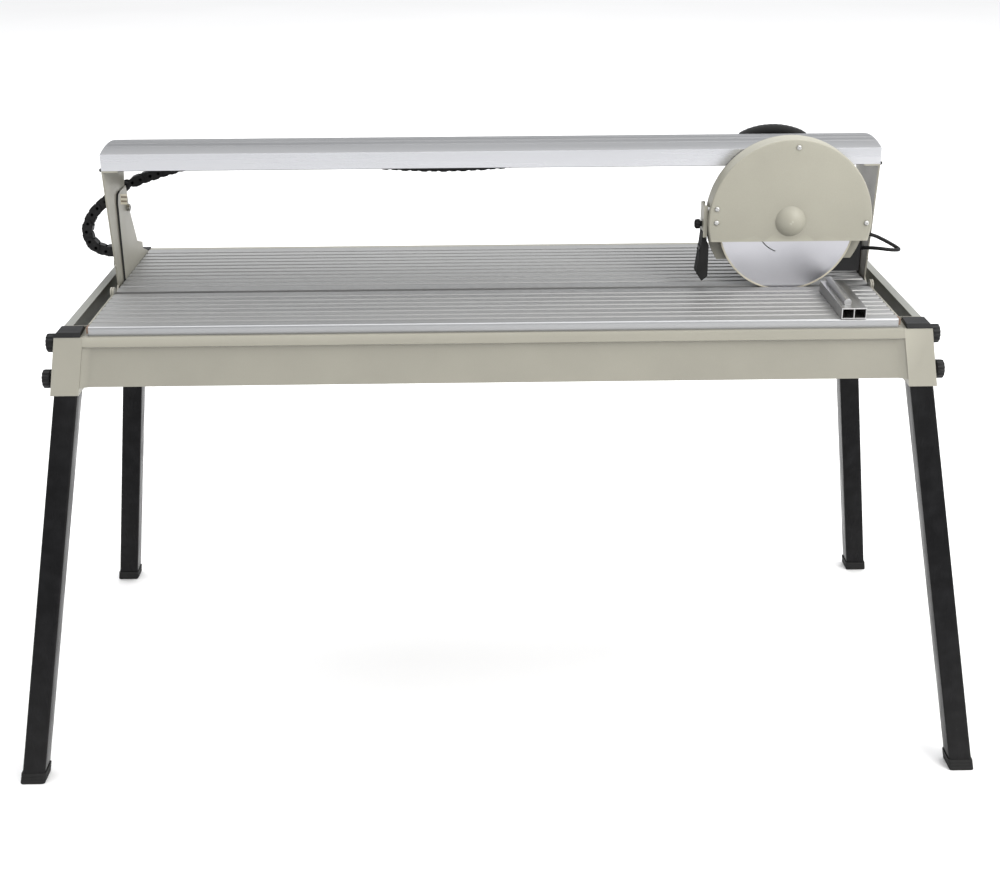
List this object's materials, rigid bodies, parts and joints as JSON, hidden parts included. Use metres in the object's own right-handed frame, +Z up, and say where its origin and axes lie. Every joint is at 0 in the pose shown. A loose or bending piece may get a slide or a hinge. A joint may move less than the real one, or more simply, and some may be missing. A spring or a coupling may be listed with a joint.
{
  "type": "bridge tile cutter",
  "caption": "Free-standing wet tile cutter: ribbed table on splayed legs, tilting bridge rail, sliding motor head with round blade and guard.",
  "frame": {"origin": "on the floor under the middle of the four feet", "axes": "+X along the table and the cut, towards the parked head; +Y to the back; +Z up"},
  "size_m": [1.7794, 0.881, 1.123],
  "materials": {
    "frame_paint": "satin powder coat",
    "table_aluminium": "extruded, satin anodised",
    "leg_paint": "gloss black",
    "black_plastic": "matt moulded",
    "black_rubber": "matt",
    "tray_plastic": "matt moulded",
    "zinc_steel": "bright zinc",
    "motor_paint": "satin black",
    "blade_steel": "ground",
    "button_plastic": "gloss"
  },
  "bodies": {
    "base": {"angle_plate_left": "frame_paint", "angle_plate_right": "frame_paint", "clamp_nuts": "zinc_steel", "corner_caps": "black_plastic", "corner_posts": "frame_paint", "front_apron": "frame_paint", "leg_front_left": "leg_paint", "leg_front_right": "leg_paint", "leg_rear_left": "leg_paint", "leg_rear_right": "leg_paint", "pivot_pins": "zinc_steel", "rear_apron": "frame_paint", "rubber_feet": "black_rubber", "side_rail_left": "frame_paint", "side_rail_right": "frame_paint", "table_cross_bars": "zinc_steel", "table_front": "table_aluminium", "table_rear": "table_aluminium", "water_pump": "black_plastic", "water_tray": "tray_plastic"},
    "leg_knob_upper_front_right": {"leg_knob_upper_front_right": "black_plastic"},
    "leg_knob_upper_front_left": {"leg_knob_upper_front_left": "black_plastic"},
    "leg_knob_upper_rear_right": {"leg_knob_upper_rear_right": "black_plastic"},
    "leg_knob_upper_rear_left": {"leg_knob_upper_rear_left": "black_plastic"},
    "leg_knob_lower_front_right": {"leg_knob_lower_front_right": "black_plastic"},
    "leg_knob_lower_front_left": {"leg_knob_lower_front_left": "black_plastic"},
    "leg_knob_lower_rear_right": {"leg_knob_lower_rear_right": "black_plastic"},
    "leg_knob_lower_rear_left": {"leg_knob_lower_rear_left": "black_plastic"},
    "drain_plug": {"drain_plug": "black_rubber"},
    "angle_guide": {"angle_guide": "table_aluminium"},
    "tilt_knob_left": {"tilt_knob_left": "black_plastic"},
    "tilt_knob_right": {"tilt_knob_right": "black_plastic"},
    "bridge": {"tilt_arm_left": "frame_paint", "tilt_arm_right": "frame_paint", "bridge_rail": "table_aluminium", "drag_chain_run": "black_plastic", "drag_chain_loop": "black_plastic"},
    "carriage": {"carriage_frame": "zinc_steel", "motor_housing": "motor_paint", "motor_stator": "zinc_steel", "motor_cover": "motor_paint", "motor_bearings": "zinc_steel", "guard_back": "frame_paint", "guard_front": "frame_paint", "guard_screws": "zinc_steel", "carriage_handle": "black_plastic", "switch_box": "black_plastic", "motor_cable": "black_rubber", "flap_bracket": "motor_paint"},
    "spindle": {"blade": "blade_steel", "blade_flanges": "zinc_steel", "arbor_nut": "zinc_steel", "motor_rotor": "zinc_steel"},
    "roller_set_left": {"roller_set_left": "zinc_steel"},
    "roller_set_right": {"roller_set_right": "zinc_steel"},
    "switch_button": {"switch_button": "button_plastic"},
    "splash_flap": {"splash_flap": "black_rubber"},
    "flap_knob": {"flap_knob": "black_plastic"}
  },
  "joints": [
    {"name": "leg_knob_upper_front_right_turn", "type": "hinge", "parent": "base", "child": "leg_knob_upper_front_right", "pos_m": [0.7701, -0.27055, 0.805], "axis": [1, 0, 0], "continuous": true},
    {"name": "leg_knob_upper_front_left_turn", "type": "hinge", "parent": "base", "child": "leg_knob_upper_front_left", "pos_m": [-0.7701, -0.27055, 0.805], "axis": [-1, 0, 0], "continuous": true},
    {"name": "leg_knob_upper_rear_right_turn", "type": "hinge", "parent": "base", "child": "leg_knob_upper_rear_right", "pos_m": [0.7701, 0.27055, 0.805], "axis": [1, 0, 0], "continuous": true},
    {"name": "leg_knob_upper_rear_left_turn", "type": "hinge", "parent": "base", "child": "leg_knob_upper_rear_left", "pos_m": [-0.7701, 0.27055, 0.805], "axis": [-1, 0, 0], "continuous": true},
    {"name": "leg_knob_lower_front_right_turn", "type": "hinge", "parent": "base", "child": "leg_knob_lower_front_right", "pos_m": [0.78098, -0.28205, 0.742], "axis": [1, 0, 0], "continuous": true},
    {"name": "leg_knob_lower_front_left_turn", "type": "hinge", "parent": "base", "child": "leg_knob_lower_front_left", "pos_m": [-0.78098, -0.28205, 0.742], "axis": [-1, 0, 0], "continuous": true},
    {"name": "leg_knob_lower_rear_right_turn", "type": "hinge", "parent": "base", "child": "leg_knob_lower_rear_right", "pos_m": [0.78098, 0.28205, 0.742], "axis": [1, 0, 0], "continuous": true},
    {"name": "leg_knob_lower_rear_left_turn", "type": "hinge", "parent": "base", "child": "leg_knob_lower_rear_left", "pos_m": [-0.78098, 0.28205, 0.742], "axis": [-1, 0, 0], "continuous": true},
    {"name": "drain_plug_pull", "type": "slide", "parent": "base", "child": "drain_plug", "axis": [0, 0, -1], "range_m": [0, 0.03]},
    {"name": "angle_guide_slide", "type": "slide", "parent": "base", "child": "angle_guide", "axis": [-1, 0, 0], "range_m": [-0.05, 1.25]},
    {"name": "tilt_knob_left_turn", "type": "hinge", "parent": "base", "child": "tilt_knob_left", "pos_m": [-0.72, 0.0776, 0.967], "axis": [-1, 0, 0], "continuous": true},
    {"name": "tilt_knob_right_turn", "type": "hinge", "parent": "base", "child": "tilt_knob_right", "pos_m": [0.72, 0.0776, 0.967], "axis": [1, 0, 0], "continuous": true},
    {"name": "bridge_tilt", "type": "hinge", "parent": "base", "child": "bridge", "pos_m": [0, -0.0874, 0.8424], "axis": [1, 0, 0], "range_deg": [0, 45]},
    {"name": "carriage_slide", "type": "slide", "parent": "bridge", "child": "carriage", "axis": [-1, 0, 0], "range_m": [0, 1.04]},
    {"name": "blade_spin", "type": "hinge", "parent": "carriage", "child": "spindle", "pos_m": [0.5454, -0.0874, 0.9616], "axis": [0, 1, 0], "continuous": true},
    {"name": "roller_set_left_turn", "type": "hinge", "parent": "carriage", "child": "roller_set_left", "pos_m": [0.4974, -0.0344, 1.0798], "axis": [0, -1, 0], "continuous": true},
    {"name": "roller_set_right_turn", "type": "hinge", "parent": "carriage", "child": "roller_set_right", "pos_m": [0.5934, -0.0344, 1.0798], "axis": [0, -1, 0], "continuous": true},
    {"name": "switch_button_press", "type": "slide", "parent": "carriage", "child": "switch_button", "axis": [0, -1, 0], "range_m": [0, 0.0025], "stiffness_N_per_m": 800},
    {"name": "splash_flap_swing", "type": "hinge", "parent": "carriage", "child": "splash_flap", "pos_m": [0.3916, -0.0874, 0.945], "axis": [0, 1, 0], "range_deg": [0, 45]},
    {"name": "flap_knob_turn", "type": "hinge", "parent": "carriage", "child": "flap_knob", "pos_m": [0.3845, -0.0824, 0.962], "axis": [-1, 0, 0], "continuous": true}
  ],
  "couplings": [
    {"joint": "roller_set_left_turn", "follows": "carriage_slide", "rad_per_m": 111.11},
    {"joint": "roller_set_right_turn", "follows": "carriage_slide", "rad_per_m": 111.11}
  ]
}
